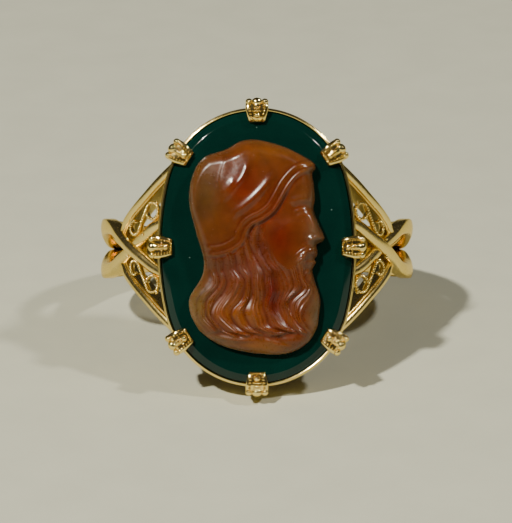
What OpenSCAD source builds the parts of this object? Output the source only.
// Gold ring with a carved cameo on an oval stone plate, held by eight claws.
// The ring lies on its side: it rests on its lowest claw and on the edge of the shank's back.

/* [Finger hole and shank] */
// Inside diameter of the finger hole
finger_d = 19; // [16:0.25:22]
// Thickness of the shank, from the finger outwards
shank_t = 1.15; // [0.9:0.05:1.6]
// Width of the plain back of the shank
back_w = 2.8; // [2:0.1:3.6]
// Shift of the shoulders towards the face, which makes them thicker than the shank
shoulder_lift = 1; // [0.6:0.1:1.4]

/* [Shoulders] */
// Width of one of the crossing bands
band_w = 0.76; // [0.5:0.02:1]
// Distance from the middle of the ring to a band, where the bands spread widest
band_spread = 1.8; // [1.4:0.05:2.2]
// Distance from the middle of the ring to a band's end at the collet
band_end = 1.8; // [1.4:0.05:2.4]
// Rise of the band that passes over the other
band_rise = 0.25; // [0.1:0.05:0.4]
// Width of the outer bar of a shoulder
bar_w = 0.74; // [0.4:0.02:0.9]
// Distance from the middle of the ring to the outer bar's end at the collet
bar_end = 4.7; // [4:0.05:5.2]
// Width of the scroll wire
wire_w = 0.2; // [0.14:0.02:0.3]
// Depth of the scroll wire
wire_t = 0.4; // [0.3:0.05:0.8]
// Radius of a scroll's large curl, at the middle of the wire
curl_large = 0.54; // [0.4:0.02:0.6]
// Radius of a scroll's small curl, at the middle of the wire
curl_small = 0.38; // [0.28:0.02:0.44]
// Radius of a grain between a scroll and the bars
joint_r = 0.22; // [0.16:0.02:0.3]

/* [Collet] */
// Width of the collet over its rim
rim_w = 13.1; // [12:0.1:14]
// Height of the collet over its rim
rim_h = 18.4; // [17:0.1:20]
// Half of that width less the radius of the oval's end arcs
rim_end_in = 0.35; // [0.2:0.05:0.9]
// Distance from the finger's axis to the top of the rim
rim_top = 11.35; // [11:0.05:12.5]
// Thickness of the rim around the stone
rim_t = 0.22; // [0.15:0.01:0.35]
// Width of the ledge that the stone lies on
ledge_w = 0.85; // [0.5:0.05:1.2]
// Thickness of that ledge
ledge_t = 1.06; // [0.9:0.02:1.4]
// Step between the collet's wall and its rim
rim_step = 0.07; // [0.03:0.01:0.12]
// Height of the rim above that step
rim_step_h = 0.5; // [0.3:0.05:0.8]

/* [Claws] */
// Width of a claw where it crosses the rim
claw_w = 1.5; // [1.2:0.05:1.8]
// Width of a claw at its tip
claw_tip_w = 1.02; // [0.8:0.02:1.2]
// Reach of a claw's tip inwards from the rim's outer edge
claw_in = 1.18; // [1:0.02:1.4]
// Reach of a claw outwards from the rim's outer edge
claw_out = 0.72; // [0.5:0.02:0.9]
// Thickness of a claw above the stone
claw_t = 0.5; // [0.35:0.05:0.7]
// Length of a claw below the rim's top
claw_drop = 1.05; // [0.8:0.05:1.3]
// Direction of the four slanting claws, above the ring's width
claw_dir = 32; // [26:1:40]
// Radius of a grain on a claw
grain_r = 0.17; // [0.12:0.01:0.2]
// Width of a claw's raised edge
edge_w = 0.3; // [0.2:0.02:0.36]
// Depth of the channel between a claw's raised edges
channel_t = 0.12; // [0.06:0.02:0.18]

/* [Stones] */
// Thickness of the stone plate
plate_t = 1.6; // [1.3:0.05:1.8]
// Width of the plate's polished bevel
bevel_w = 0.46; // [0.3:0.02:0.6]
// Height of the plate's polished bevel
bevel_h = 0.34; // [0.2:0.02:0.5]
// Rise of the bevel's lower edge above the rim
plate_rise = 0.06; // [0:0.01:0.12]
// Gap between the stone plate and the gold
stone_gap = 0.04; // [0.03:0.01:0.08]
// Gap between the cameo and the stone plate
cameo_gap = 0.03; // [0.02:0.01:0.05]
// Width of the cameo
cameo_w = 8.9; // [8:0.1:9.4]
// Height of the cameo
cameo_h = 14.1; // [13:0.1:14.6]
// Relief of the cameo above the plate
cameo_t = 2; // [1.4:0.1:2.4]
// Height of the upright edge all round the cameo
edge_t = 0.25; // [0.15:0.05:0.4]
// Width over which the carving rounds off towards its edge
round_w = 0.9; // [0.5:0.05:1.2]
// Width of the rolled edge of the cap
rim_roll = 0.74; // [0.5:0.02:0.9]
// Width of the step between one surface of the carving and the next
step_w = 0.1; // [0.06:0.01:0.2]

/* [Hidden] */
$fn = 96;

finger_r = finger_d / 2;
shank_r = finger_r + shank_t;
shoulder_r = shank_r - 0.3 * shoulder_lift;
plate_top = rim_top + plate_rise + bevel_h;
seat_top = plate_top - plate_t - stone_gap;
collet_foot = seat_top - ledge_t;
plate_in = rim_t + rim_step + stone_gap;
reach = 2 * rim_h;

// The rim's oval has four arcs: two at its ends and two along its sides
rim_end_r = rim_w / 2 - rim_end_in;
end_y = rim_h / 2 - rim_end_r;
side_r = (rim_w * rim_w / 4 + rim_h * rim_h / 4 - rim_h * rim_end_r) / (rim_w - 2 * rim_end_r);
side_x = side_r - rim_w / 2;
arc_turn = atan2(end_y, side_x);
end_steps = 20;
side_steps = 8;

// Outline of a claw seen from its side: the distance outwards from the rim's outer edge,
// and the distance from the finger's axis
claw_low = rim_top - claw_drop;
claw_under = plate_top + stone_gap;
claw_root = -rim_step - 0.8 * rim_t;
claw_side = [
    [claw_root, claw_low],
    [claw_out, claw_low],
    [claw_out, rim_top],
    [0.84 * claw_out, claw_under],
    [0.38 * claw_out, claw_under + 0.74 * claw_t],
    [-0.16 * claw_in, claw_under + claw_t],
    [-0.62 * claw_in, claw_under + 0.86 * claw_t],
    [-0.92 * claw_in, claw_under + 0.5 * claw_t],
    [-claw_in, claw_under],
    [-plate_in - bevel_w, claw_under],
    [claw_root, claw_under - bevel_h],
];

grain_out = 0.16 * claw_out;
grain_mid = claw_under + claw_t - channel_t;

// The ring leans until its lowest claw and the lower edge of the shank's back touch the floor
lean = atan2(rim_h / 2 + claw_out - back_w / 2, claw_low + shank_r);
floor_drop = shank_r * sin(lean) + back_w / 2 * cos(lean);
front = max(
    max([for (p = claw_side) p[1] * cos(lean) + (rim_h / 2 + p[0]) * sin(lean)]),
    grain_mid * cos(lean) + (rim_h / 2 + grain_out) * sin(lean) + grain_r
);
back = shank_r * cos(lean) + back_w / 2 * sin(lean);

// Route of a crossing band round the finger, from the back to the collet: the angle from the
// ring's side towards the face, and the distance from the ring's middle as shares of
// band_spread and of band_end
band_route = [
    [-60, -0.9, 0],
    [-16, -0.94, 0],
    [0, -1, 0],
    [8, -0.96, 0],
    [18.5, -0.75, 0],
    [30, -0.36, 0],
    [38, 0, 0],
    [48.5, 0, 0.44],
    [58, 0, 1],
    [68, 0, 1.5],
];
back_join = -50;
back_free = -12;

// Route of a shoulder's outer bar, from the crossing to the collet: the same angle, and the
// distance from the ring's middle as a share of bar_end
bar_route = [
    [27, 0.08],
    [34, 0.26],
    [44, 0.58],
    [53, 0.79],
    [64, 1],
    [70, 1.06],
];

// Places of the curls on a shoulder: the angle round the shoulder's arc from the face towards
// the shank, and the distance from the ring's middle as a share of bar_end
curl_mid = 47.5;
curl_places = [[42.6, 0.52], [52.5, 0.285]];
grain_places = [[43.5, 0.655], [55.5, 0.215], [38.6, 0.47], [48.6, 0.33]];

// Outline of the cameo from its middle, in shares of half of cameo_w across and half of
// cameo_h up. The left and right edges give the height first, the low and top ones the width
left_edge = [
    [-0.773, -0.854], [-0.709, -0.917], [-0.638, -0.971], [-0.567, -0.998], [-0.482, -0.996],
    [-0.411, -0.944], [-0.34, -0.867], [-0.27, -0.809], [-0.199, -0.782], [-0.142, -0.78],
    [-0.071, -0.8], [0, -0.831], [0.085, -0.876], [0.17, -0.912], [0.27, -0.955], [0.369, -0.991],
    [0.482, -1], [0.582, -0.984], [0.667, -0.948], [0.738, -0.899], [0.78, -0.858],
];
right_edge = [
    [-0.889, 0.753], [-0.843, 0.811], [-0.794, 0.854], [-0.738, 0.892], [-0.652, 0.912],
    [-0.553, 0.93], [-0.468, 0.928], [-0.397, 0.897], [-0.326, 0.858], [-0.262, 0.831],
    [-0.213, 0.818], [-0.17, 0.849], [-0.139, 0.872], [-0.113, 0.849], [-0.085, 0.883],
    [-0.043, 0.894], [0, 0.881], [0.026, 0.892], [0.047, 0.957], [0.078, 1], [0.121, 0.98],
    [0.184, 0.935], [0.27, 0.876], [0.326, 0.84], [0.369, 0.834], [0.418, 0.852], [0.496, 0.854],
    [0.582, 0.84], [0.652, 0.82], [0.692, 0.822], [0.723, 0.858], [0.773, 0.854],
];
low_edge = [
    [-0.854, -0.773], [-0.787, -0.811], [-0.674, -0.865], [-0.494, -0.922], [-0.315, -0.955],
    [-0.135, -0.979], [0.045, -0.993], [0.202, -1], [0.36, -0.997], [0.517, -0.976],
    [0.652, -0.936], [0.753, -0.889],
];
top_edge = [
    [-0.858, 0.78], [-0.764, 0.84], [-0.629, 0.872], [-0.494, 0.899], [-0.393, 0.929],
    [-0.292, 0.969], [-0.18, 0.993], [-0.056, 1], [0.09, 0.989], [0.247, 0.965], [0.404, 0.932],
    [0.539, 0.894], [0.674, 0.85], [0.787, 0.809], [0.854, 0.773],
];

// Lines on the carving, each place across and up in the same shares: the cap's lower edge from
// the nape to the forehead, the edge of the bare face, and the ends of the hair on the robe
cap_edge = [
    [-0.944, -0.094], [-0.757, -0.096], [-0.524, -0.085], [-0.335, -0.038], [-0.191, 0.037],
    [-0.139, 0.121], [-0.056, 0.191], [0.103, 0.241], [0.27, 0.326], [0.396, 0.454],
    [0.506, 0.574], [0.674, 0.674], [0.944, 0.709],
];
face_edge = [
    [0.079, 0.312], [0.101, 0.213], [0.101, 0.128], [0.124, 0.028], [0.191, -0.071],
    [0.303, -0.149], [0.438, -0.191], [0.562, -0.17], [0.652, -0.106], [0.742, -0.043],
    [1.034, 0],
];
hair_end = [
    [-1.011, -0.745], [-0.854, -0.773], [-0.697, -0.794], [-0.517, -0.789], [-0.337, -0.831],
    [-0.157, -0.828], [-0.022, -0.803], [0.157, -0.823], [0.337, -0.823], [0.494, -0.789],
    [0.652, -0.803], [0.831, -0.82], [0.989, -0.794],
];

// Valleys between the locks of hair and beard: the height, and the place across of each valley
locks = [
    [-0.851, -0.58, -0.43, -0.18, -0.02, 0.11, 0.31, 0.52, 0.61, 0.65, 0.7, 0.76, 0.83, 0.88],
    [-0.765, -0.84, -0.7, -0.47, -0.29, -0.16, 0.04, 0.29, 0.45, 0.52, 0.6, 0.67, 0.76, 0.9],
    [-0.672, -1, -0.83, -0.63, -0.46, -0.29, -0.13, 0.1, 0.34, 0.44, 0.52, 0.62, 0.74, 0.92],
    [-0.58, -1.03, -0.83, -0.67, -0.48, -0.3, -0.13, 0.09, 0.29, 0.38, 0.49, 0.64, 0.79, 0.94],
    [-0.488, -0.97, -0.77, -0.63, -0.42, -0.22, -0.01, 0.17, 0.31, 0.42, 0.56, 0.71, 0.83, 0.96],
    [-0.396, -0.89, -0.71, -0.57, -0.33, -0.15, 0.08, 0.22, 0.31, 0.47, 0.6, 0.71, 0.81, 0.92],
    [-0.304, -0.83, -0.7, -0.55, -0.32, -0.15, 0.07, 0.21, 0.31, 0.46, 0.56, 0.65, 0.75, 0.88],
    [-0.211, -0.79, -0.69, -0.52, -0.36, -0.2, -0.04, 0.11, 0.27, 0.4, 0.51, 0.61, 0.72, 0.88],
    [-0.119, -0.81, -0.67, -0.51, -0.38, -0.22, -0.13, 0.03, 0.18, 0.34, 0.47, 0.56, 0.71, 0.9],
    [-0.027, -0.83, -0.67, -0.52, -0.39, -0.22, -0.14, -0.01, 0.1, 0.25, 0.4, 0.54, 0.7, 0.9],
    [0.065, -0.85, -0.7, -0.54, -0.41, -0.25, -0.14, -0.02, 0.06, 0.2, 0.38, 0.54, 0.7, 0.9],
    [0.156, -0.88, -0.72, -0.56, -0.43, -0.27, -0.12, 0, 0.08, 0.22, 0.4, 0.54, 0.7, 0.9],
    [0.255, -0.88, -0.72, -0.56, -0.43, -0.27, -0.12, 0.02, 0.11, 0.25, 0.43, 0.56, 0.72, 0.9],
];
// Height of each lock, and its lift over the ones beside it, as shares of cameo_t
lock_tall = [0.075, 0.1, 0.125, 0.09, 0.12, 0.1, 0.06, 0.05, 0.1, 0.11, 0.09, 0.08];
lock_base = [-0.03, 0, 0.025, -0.02, 0.035, 0.06, 0.05, -0.06, 0.01, 0.04, 0.01, -0.02];

// Folds of the cap and robe and forms of the face: a bent line from one place by another to a
// third, the widths on its left and right as shares of half of cameo_w, and the height as a
// share of cameo_t
cap_folds = [
    [0.337, 0.738, 0.034, 0.596, -0.393, 0.284, 0.112, 0.081, 0.15],
    [-0.056, 0.865, -0.169, 0.709, -0.427, 0.511, 0.124, 0.054, 0.17],
    [-0.124, 0.894, -0.348, 0.723, -0.528, 0.525, 0.036, 0.112, 0.1],
    [-0.494, 0.879, -0.584, 0.78, -0.618, 0.567, 0.067, 0.058, 0.07],
    [-0.719, 0.809, -0.843, 0.624, -0.843, 0.312, 0.067, 0.045, 0.065],
    [-0.618, 0.78, -0.697, 0.539, -0.652, 0.142, 0.049, 0.067, 0.07],
    [-0.247, 0.355, -0.427, 0.27, -0.539, 0.099, 0.067, 0.049, 0.06],
    [-0.472, 0.411, -0.584, 0.255, -0.719, 0.057, 0.058, 0.058, 0.05],
    [0.135, 0.582, -0.135, 0.426, -0.36, 0.34, 0.045, 0.067, -0.07],
    [0.045, 0.723, -0.202, 0.567, -0.382, 0.411, 0.045, 0.058, -0.09],
    [0.584, 0.816, 0.315, 0.723, 0.157, 0.596, 0.058, 0.058, 0.03],
    [-0.36, 0.652, -0.494, 0.454, -0.584, 0.312, 0.045, 0.045, -0.04],
];
robe_folds = [
    [-0.742, -0.826, -0.382, -0.887, 0.067, -0.865, 0.04, 0.027, 0.08],
    [-0.539, -0.887, -0.18, -0.95, 0.315, -0.95, 0.036, 0.045, 0.05],
    [0.09, -0.851, 0.36, -0.915, 0.607, -0.957, 0.027, 0.045, 0.07],
    [0.337, -0.844, 0.562, -0.887, 0.764, -0.872, 0.027, 0.045, 0.06],
];
face_forms = [
    [0.494, 0.4, 0.64, 0.454, 0.831, 0.423, 0.058, 0.045, 0.08],
    [0.562, 0.315, 0.67, 0.377, 0.773, 0.329, 0.022, 0.016, 0.065],
    [0.584, 0.304, 0.674, 0.281, 0.764, 0.309, 0.016, 0.02, 0.035],
    [0.775, 0.369, 0.831, 0.227, 0.91, 0.106, 0.045, 0.09, 0.1],
    [0.742, 0.043, 0.746, 0.111, 0.813, 0.116, 0.022, 0.016, -0.06],
    [0.719, 0.078, 0.64, 0.014, 0.584, -0.099, 0.029, 0.045, -0.05],
    [0.697, -0.145, 0.787, -0.142, 0.888, -0.142, 0.029, 0.029, 0.075],
    [0.685, -0.111, 0.787, -0.112, 0.899, -0.112, 0.016, 0.016, -0.07],
];
lip_hair = [
    [0.899, -0.023, 0.764, -0.017, 0.629, -0.099, 0.022, 0.027, 0.07],
    [0.899, -0.057, 0.753, -0.051, 0.607, -0.142, 0.022, 0.027, 0.085],
    [0.876, -0.085, 0.719, -0.088, 0.584, -0.213, 0.022, 0.027, 0.08],
    [0.764, -0.007, 0.629, -0.057, 0.539, -0.17, 0.022, 0.027, 0.065],
    [0.831, -0.184, 0.753, -0.199, 0.697, -0.284, 0.027, 0.027, 0.07],
    [0.865, -0.191, 0.809, -0.227, 0.787, -0.326, 0.027, 0.027, 0.06],
];
bust_rows = 98;
bust_columns = 54;

function row_of(t, tab, i = 0) =
    (i >= len(tab) - 2 || t < tab[i + 1][0]) ? i : row_of(t, tab, i + 1);
function slope(tab, i, c) =
    let (a = max(i - 1, 0), b = min(i + 1, len(tab) - 1))
    (tab[b][c] - tab[a][c]) / (tab[b][0] - tab[a][0]);
// Smooth curve through a table: the value of column c where column 0 is t
function curve(t, tab, c) =
    let (
        i = row_of(t, tab),
        d = tab[i + 1][0] - tab[i][0],
        u = (t - tab[i][0]) / d,
        v = 1 - u
    )
    tab[i][c] * (1 + 2 * u) * v * v + slope(tab, i, c) * d * u * v * v
    + tab[i + 1][c] * (3 - 2 * u) * u * u - slope(tab, i + 1, c) * d * u * u * v;
function step_up(a, b, t) =
    let (u = min(max((t - a) / (b - a), 0), 1))
    u * u * (3 - 2 * u);
function mix(a, b, t) = a + (b - a) * t;

// Points along an arc
function arc(cx, cy, r, from, to, steps) =
    [for (i = [0:steps]) let (a = from + (to - from) * i / steps) [cx + r * cos(a), cy + r * sin(a)]];
function rim_points(inset) = concat(
    arc(-side_x, 0, side_r - inset, -arc_turn, arc_turn, side_steps),
    arc(0, end_y, rim_end_r - inset, arc_turn, 180 - arc_turn, end_steps),
    arc(side_x, 0, side_r - inset, 180 - arc_turn, 180 + arc_turn, side_steps),
    arc(0, -end_y, rim_end_r - inset, 180 + arc_turn, 360 - arc_turn, end_steps)
);
module oval(inset) {
    polygon(rim_points(inset));
}

// A ribbon of the given half widths along a path of points
function path_normal(path, i) =
    let (a = path[max(i - 1, 0)], b = path[min(i + 1, len(path) - 1)], d = b - a)
    [-d[1], d[0]] / norm(d);
module ribbon(path, half) {
    last = len(path) - 1;
    left = [for (i = [0:last]) path[i] + path_normal(path, i) * half[i]];
    right = [for (i = [last:-1:0]) path[i] - path_normal(path, i) * half[i]];
    polygon(concat(left, right));
}

// Stands the ring's frame, finger axis up and face forwards, in its leaning place
module leaning() {
    translate([0, (front - back) / 2, floor_drop])
        rotate([-lean, 0, 0])
            children();
}
// Turns a flat outline to face forwards, at a distance from the finger's axis
module on_face(from) {
    translate([0, -from, 0])
        rotate([90, 0, 0])
            children();
}
// The other shoulder is the first one turned half round the middle of the face
module both_shoulders() {
    children();
    rotate([0, 180, 0])
        children();
}

// Shank and shoulders, seen along the finger's axis
module shank_plan() {
    circle(r = shank_r, $fn = 180);
    translate([0, -shoulder_lift])
        circle(r = shoulder_r, $fn = 180);
}
// The same with a low arch over the crossing, for the band that lies on top
arch_dir = 38;
arch_shift = 0.19 * shank_r;
arch_r = shoulder_lift * sin(arch_dir) + sqrt(pow(shoulder_r, 2) - pow(shoulder_lift * cos(arch_dir), 2))
    + band_rise - arch_shift;
module arch_plan() {
    shank_plan();
    rotate([0, 0, -arch_dir])
        translate([arch_shift, 0])
            circle(r = arch_r, $fn = 180);
}

function band_z(a) =
    mix(-back_w / 4, band_spread * curve(a, band_route, 1) + band_end * curve(a, band_route, 2),
        step_up(back_join, back_free, a));
function band_half(a) = mix(0.27 * back_w, band_w / 2, step_up(back_join, back_free, a));
band_angles = [for (a = [-60:4:68]) a];
module band_outline(side) {
    ribbon(
        [for (a = band_angles) [shank_r * sin(a), side * band_z(a)]],
        [for (a = band_angles) band_half(a)]
    );
}
module bar_outline(side) {
    angles = [for (a = [27:4:67]) a];
    ribbon(
        [for (a = angles) [shank_r * sin(a), side * bar_end * curve(a, bar_route, 1)]],
        [for (a = angles) bar_w / 2]
    );
}
// Carries an outline drawn along the face's direction and the finger's axis through one side
// of the ring
module through_side() {
    rotate([90, 0, -90])
        mirror([0, 0, 1])
            linear_extrude(2 * shank_r)
                children();
}
module shoulder() {
    intersection() {
        linear_extrude(reach, center = true) shank_plan();
        through_side() {
            band_outline(-1);
            bar_outline(1);
            bar_outline(-1);
        }
    }
    intersection() {
        linear_extrude(reach, center = true) arch_plan();
        through_side() band_outline(1);
    }
}
module back_band() {
    intersection() {
        linear_extrude(back_w, center = true) shank_plan();
        translate([0, shank_r, 0])
            cube([reach, 2 * shank_r * (1 - sin(-back_join)), reach], center = true);
    }
}

// Places things on the shoulder's outer face, at an angle from the face towards the shank
module on_shoulder(a) {
    translate([0, -shoulder_lift, 0])
        rotate([90, 0, a])
            translate([0, 0, shoulder_r])
                children();
}
function curl_at(i) = [
    shoulder_r * sin(curl_places[i][0] - curl_mid),
    bar_end * curl_places[i][1]
];
// An S of wire: a large curl, a straight stem across, and a small curl turned the other way
module scroll() {
    a = curl_at(0);
    b = curl_at(1);
    along = atan2(b[1] - a[1], b[0] - a[0]);
    lean_in = acos((curl_large + curl_small) / norm(b - a));
    leave = along + lean_in;
    path = concat(
        arc(a[0], a[1], curl_large, leave + 310, leave, 15),
        arc(b[0], b[1], curl_small, leave - 180, leave + 100, 14)
    );
    ribbon(path, [for (p = path) wire_w / 2]);
    for (g = grain_places)
        translate([shoulder_r * sin(g[0] - curl_mid), bar_end * g[1]])
            circle(r = joint_r, $fn = 32);
}
module scrolls() {
    for (s = [0, 1])
        mirror([0, 0, s])
            on_shoulder(curl_mid)
                translate([0, 0, -wire_t])
                    linear_extrude(wire_t)
                        scroll();
}

module collet() {
    on_face(collet_foot)
        linear_extrude(rim_top - rim_step_h - collet_foot)
            oval(0);
    on_face(collet_foot)
        linear_extrude(rim_top - collet_foot)
            oval(rim_step);
}
module collet_opening() {
    on_face(0)
        linear_extrude(reach)
            oval(rim_step + rim_t + ledge_w);
    on_face(seat_top)
        linear_extrude(reach)
            oval(rim_step + rim_t);
}

// One claw, from the rim's outer edge: outwards along x, with the finger's axis at z = 0
module claw() {
    inner = claw_tip_w / 2;
    outer = claw_w / 2;
    difference() {
        intersection() {
            rotate([90, 0, 0])
                linear_extrude(2 * claw_w, center = true)
                    polygon(claw_side);
            linear_extrude(reach)
                polygon([[-claw_in, inner], [0, outer], [claw_out, outer * 0.92],
                    [claw_out, -outer * 0.92], [0, -outer], [-claw_in, -inner]]);
        }
        translate([0, 0, claw_under + claw_t - channel_t])
            linear_extrude(claw_t)
                polygon([[edge_w - claw_in, inner - edge_w], [claw_out, outer - edge_w],
                    [claw_out, edge_w - outer], [edge_w - claw_in, edge_w - inner]]);
    }
    for (i = [0:2])
        translate([grain_out - i * 2.1 * grain_r, 0, grain_mid])
            sphere(r = grain_r, $fn = 24);
}
module claws() {
    for (x = [-1, 1])
        on_face(0)
            translate([x * rim_w / 2, 0, 0])
                rotate([0, 0, x > 0 ? 0 : 180])
                    claw();
    for (y = [-1, 1])
        on_face(0)
            translate([0, y * rim_h / 2, 0])
                rotate([0, 0, y * 90])
                    claw();
    for (y = [-1, 1], turn = [claw_dir, 180 - claw_dir])
        on_face(0)
            translate([0, y * end_y, 0])
                rotate([0, 0, y * turn])
                    translate([rim_end_r, 0, 0])
                        claw();
}

module ring_mount() {
    color("#d9b25c")
        leaning()
            difference() {
                union() {
                    difference() {
                        union() {
                            both_shoulders() {
                                shoulder();
                                scrolls();
                            }
                            collet();
                        }
                        collet_opening();
                    }
                    claws();
                    back_band();
                }
                cylinder(r = finger_r, h = reach, center = true, $fn = 180);
            }
}

module backing_stone() {
    color("#0b4a3a")
        leaning()
            on_face(plate_top - plate_t)
                hull() {
                    linear_extrude(plate_t - bevel_h)
                        oval(plate_in);
                    linear_extrude(plate_t)
                        oval(plate_in + bevel_w);
                }
}

// Places of the carving at size, and lines through them
half_w = cameo_w / 2;
half_h = cameo_h / 2;
function at_size(p) = [p[0] * half_w, p[1] * half_h];
function smooth_line(tab) = [
    for (i = [0:2 * len(tab) - 2])
        i % 2 == 0 ? at_size(tab[i / 2])
        : let (k = (i - 1) / 2, a = tab[max(k - 1, 0)], b = tab[min(k + 2, len(tab) - 1)])
            at_size((9 * (tab[k] + tab[k + 1]) - a - b) / 16)
];
function bent_line(f) = [
    for (t = [0:0.2:1.01])
        at_size((1 - t) * (1 - t) * [f[0], f[1]] + 2 * t * (1 - t) * [f[2], f[3]] + t * t * [f[4], f[5]])
];
cap_line = smooth_line(cap_edge);
face_line = smooth_line(face_edge);
hair_line = smooth_line(hair_end);
cap_lines = [for (f = cap_folds) bent_line(f)];
robe_lines = [for (f = robe_folds) bent_line(f)];
face_lines = [for (f = face_forms) bent_line(f)];
lip_lines = [for (f = lip_hair) bent_line(f)];

// A place beside a line: the distance, the same with a sign that is positive on the line's
// left, and how far along the line it is
function beside(p, line) =
    let (
        near = [for (i = [0:len(line) - 2])
            let (
                d = line[i + 1] - line[i],
                u = min(max((p - line[i]) * d / (d * d), 0), 1),
                off = p - line[i] - u * d
            )
            [norm(off), d[0] * off[1] - d[1] * off[0], (i + u) / (len(line) - 1)]],
        least = min([for (n = near) n[0]]),
        hit = [for (n = near) if (n[0] == least) n][0]
    )
    [least, hit[1] < 0 ? -least : least, hit[2]];
function bell(t) = exp(-t * t);
function mound(p, at, w, h) =
    let (d = p - at_size(at))
    exp(-pow(d[0] / (w * half_w), 2) - pow(d[1] / (h * half_h), 2));
function ridge(p, f, line) =
    let (b = beside(p, line), w = (b[1] > 0 ? f[6] : f[7]) * half_w)
    b[0] > 3 * w ? 0 : f[8] * bell(b[0] / w) * step_up(0, 0.3, b[2]) * step_up(1, 0.65, b[2]);
function ridges(p, tab, lines) = sum([for (i = [0:len(tab) - 1]) ridge(p, tab[i], lines[i])]);
function sum(v, i = 0) = i >= len(v) ? 0 : v[i] + sum(v, i + 1);
// Round rolls side by side, with a valley at each whole number; lean moves their crests
function roll(t, lean) =
    let (u = 2 * pow(t - floor(t), pow(2, lean)) - 1)
    sqrt(max(1 - u * u, 0));

// Which lock a place lies in, counted along the valleys beside it
function lock_at(p) =
    let (
        z = min(max(p[1] / half_h, locks[0][0]), locks[len(locks) - 1][0]),
        lines = [for (c = [1:len(locks[0]) - 1]) half_w * curve(z, locks, c)],
        passed = len([for (x = lines) if (x <= p[0]) x]),
        k = min(max(passed - 1, 0), len(lines) - 2)
    )
    k + min(max((p[0] - lines[k]) / (lines[k + 1] - lines[k]), 0), 0.999);
function lifted(s) =
    let (t = min(max(s - 0.5, 0), len(lock_base) - 1), k = floor(t))
    mix(lock_base[k], lock_base[min(k + 1, len(lock_base) - 1)], t - k);

// Heights of the carving as shares of cameo_t
function cap_height(p, up) =
    let (w = rim_roll / 2)
    0.71 + 0.17 * mound(p, [-0.11, 0.51], 0.54, 0.31) - 0.025 * mound(p, [-0.76, 0.35], 0.22, 0.43)
    + (1 - step_up(0.95 * rim_roll, 1.15 * rim_roll, up))
        * (0.03 + 0.08 * roll(min(up, 1.99 * w) / w, 0.25))
    - 0.05 * bell((up - 1.1 * rim_roll) / step_w)
    + step_up(0.95 * rim_roll, 1.5 * rim_roll, up) * ridges(p, cap_folds, cap_lines);
function face_height(p) =
    0.67 + 0.08 * mound(p, [0.43, 0.14], 0.22, 0.14) + 0.08 * mound(p, [0.61, 0.55], 0.22, 0.13)
    + 0.04 * mound(p, [0.58, 0.21], 0.11, 0.05) - 0.15 * mound(p, [0.69, 0.343], 0.11, 0.043)
    + 0.09 * mound(p, [0.67, 0.32], 0.067, 0.031) + 0.12 * mound(p, [0.82, 0.071], 0.058, 0.031)
    + ridges(p, face_forms, face_lines);
function hair_height(p) =
    let (s = lock_at(p), k = floor(s), z = p[1] / half_h)
    0.53 + 0.07 * mound(p, [-0.04, -0.34], 0.58, 0.34) + lifted(s)
    + 1.4 * lock_tall[k] * roll(s, -0.35)
    - 0.12 * bell((s - 7) / 0.3) * step_up(-0.2, -0.34, z) * step_up(-0.71, -0.6, z);
function robe_height(p) =
    0.4 + 0.06 * mound(p, [0.11, -0.87], 0.67, 0.085) + ridges(p, robe_folds, robe_lines);
function relief(p) =
    let (
        up = beside(p, cap_line)[1],
        cap = step_up(-0.4 * step_w, 0.6 * step_w, up),
        face = step_up(-2.2 * step_w, 2 * step_w, beside(p, face_line)[1]) * (1 - cap),
        robe = step_up(0.6 * step_w, -0.6 * step_w, beside(p, hair_line)[1])
            * (1 - cap) * (1 - face),
        hair = 1 - cap - face - robe
    )
    (cap > 0 ? cap * cap_height(p, up) : 0) + (face > 0 ? face * face_height(p) : 0)
    + (robe > 0 ? robe * robe_height(p) : 0) + (hair > 0 ? hair * hair_height(p) : 0)
    + ridges(p, lip_hair, lip_lines) - 0.06 * bell((up + 0.7 * step_w) / (0.8 * step_w))
    + 0.05 * mound(p, [0.07, 0.43], 0.9, 0.64) - 0.025;

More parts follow.
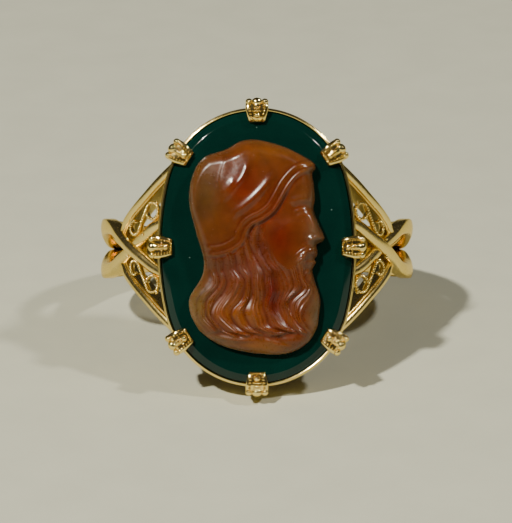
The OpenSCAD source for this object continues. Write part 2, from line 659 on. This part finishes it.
// Places along the four edges, and the grid between them: rows from the bottom up, columns
// from left to right
function along(tab, t) = mix(tab[0][0], tab[len(tab) - 1][0], t);
function across_at(tab, t) = at_size([curve(along(tab, t), tab, 1), along(tab, t)]);
function up_at(tab, t) = at_size([along(tab, t), curve(along(tab, t), tab, 1)]);
lefts = [for (i = [0:bust_rows]) across_at(left_edge, i / bust_rows)];
rights = [for (i = [0:bust_rows]) across_at(right_edge, i / bust_rows)];
lows = [for (j = [0:bust_columns]) up_at(low_edge, j / bust_columns)];
tops = [for (j = [0:bust_columns]) up_at(top_edge, j / bust_columns)];
outline = concat(lefts, rights, lows, tops);
function bust_place(i, j) =
    let (s = j / bust_columns, t = i / bust_rows)
    mix(lows[j], tops[j], t) + mix(lefts[i], rights[i], s)
    - mix(mix(lows[0], lows[bust_columns], s), mix(tops[0], tops[bust_columns], s), t);
function bust_point(i, j) =
    let (
        p = bust_place(i, j),
        border = i == 0 || j == 0 || i == bust_rows || j == bust_columns,
        e = border ? 0 : min(min([for (q = outline) norm(p - q)]) / round_w, 1)
    )
    [p[0], p[1], edge_t + (border ? 0 : (cameo_t * relief(p) - edge_t) * sqrt(e * (2 - e)))];
module cameo() {
    n = bust_columns + 1;
    carved = [for (i = [0:bust_rows], j = [0:bust_columns]) bust_point(i, j)];
    rim = concat(
        [for (j = [0:bust_columns]) j],
        [for (i = [1:bust_rows]) i * n + bust_columns],
        [for (j = [bust_columns - 1:-1:0]) bust_rows * n + j],
        [for (i = [bust_rows - 1:-1:1]) i * n]
    );
    below = [for (k = rim) [carved[k][0], carved[k][1], 0]];
    low = len(carved);
    last = len(rim) - 1;
    left = [for (i = [0:bust_rows]) low + (i == 0 ? 0 : last + 1 - i)];
    right = [for (i = [0:bust_rows]) low + bust_columns + i];
    top = [for (i = [0:bust_rows - 1], j = [0:bust_columns - 1]) each [
        [i * n + j, (i + 1) * n + j, (i + 1) * n + j + 1],
        [i * n + j, (i + 1) * n + j + 1, i * n + j + 1]
    ]];
    wall = [for (k = [0:last]) let (m = k == last ? 0 : k + 1) each [
        [rim[k], rim[m], low + m],
        [rim[k], low + m, low + k]
    ]];
    base = concat(
        [for (k = [low + 1:right[0] - 1]) [left[0], k, k + 1]],
        [for (i = [0:bust_rows - 1]) each [
            [left[i], right[i], right[i + 1]],
            [left[i], right[i + 1], left[i + 1]]
        ]],
        [for (k = [right[bust_rows] + 1:left[bust_rows] - 1]) [right[bust_rows], k, k + 1]]
    );
    color("#9a4a22")
        leaning()
            on_face(plate_top + cameo_gap)
                polyhedron(concat(carved, below), concat(top, wall, base));
}

ring_mount();
backing_stone();
cameo();
